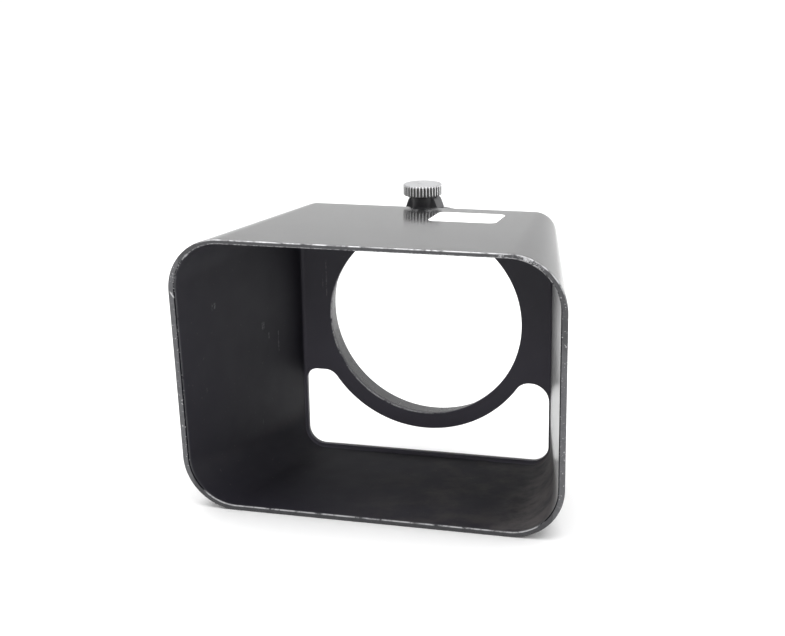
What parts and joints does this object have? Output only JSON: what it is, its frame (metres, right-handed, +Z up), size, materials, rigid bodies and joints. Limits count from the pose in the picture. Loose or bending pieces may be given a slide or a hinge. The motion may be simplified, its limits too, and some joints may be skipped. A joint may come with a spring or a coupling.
{
  "type": "lens hood",
  "caption": "Rectangular black metal slip-on lens hood: flared shell with a round lens opening, a viewfinder window below it, and a rear collar clamped by a knurled thumb screw.",
  "frame": {"origin": "on the lens axis, in the plane of the shell's rear face, which is the stop that the lens barrel meets", "axes": "+Y back along the lens axis, the way the lens barrel leaves the collar; +X to the right seen from the front; +Z up, towards the thumb screw"},
  "size_m": [0.092, 0.0702, 0.0728],
  "materials": {
    "shell_black": "satin",
    "collar_black": "satin",
    "lug_black": "satin",
    "bush_black": "satin",
    "screw_nickel": "satin",
    "shoe_brass": "satin",
    "keeper_steel": "satin",
    "label_paper": "matte"
  },
  "bodies": {
    "hood": {"hood_shell": "shell_black", "mount_collar": "collar_black", "clamp_lug": "lug_black", "screw_bush": "bush_black", "paper_label": "label_paper"},
    "shoe": {"clamp_shoe": "shoe_brass"},
    "screw": {"thumb_screw": "screw_nickel", "shoe_keeper": "keeper_steel"}
  },
  "joints": [
    {"name": "shoe_slide", "type": "slide", "parent": "hood", "child": "shoe", "axis": [0, 0, -1], "range_m": [-0.00055, 0.00045]},
    {"name": "screw_turn", "type": "hinge", "parent": "shoe", "child": "screw", "pos_m": [-0.00235, 0.007, 0.0327], "axis": [0, 0, -1], "range_deg": [-396.5, 324.5]}
  ],
  "couplings": [
    {"joint": "screw_turn", "follows": "shoe_slide", "rad_per_m": 12566}
  ]
}
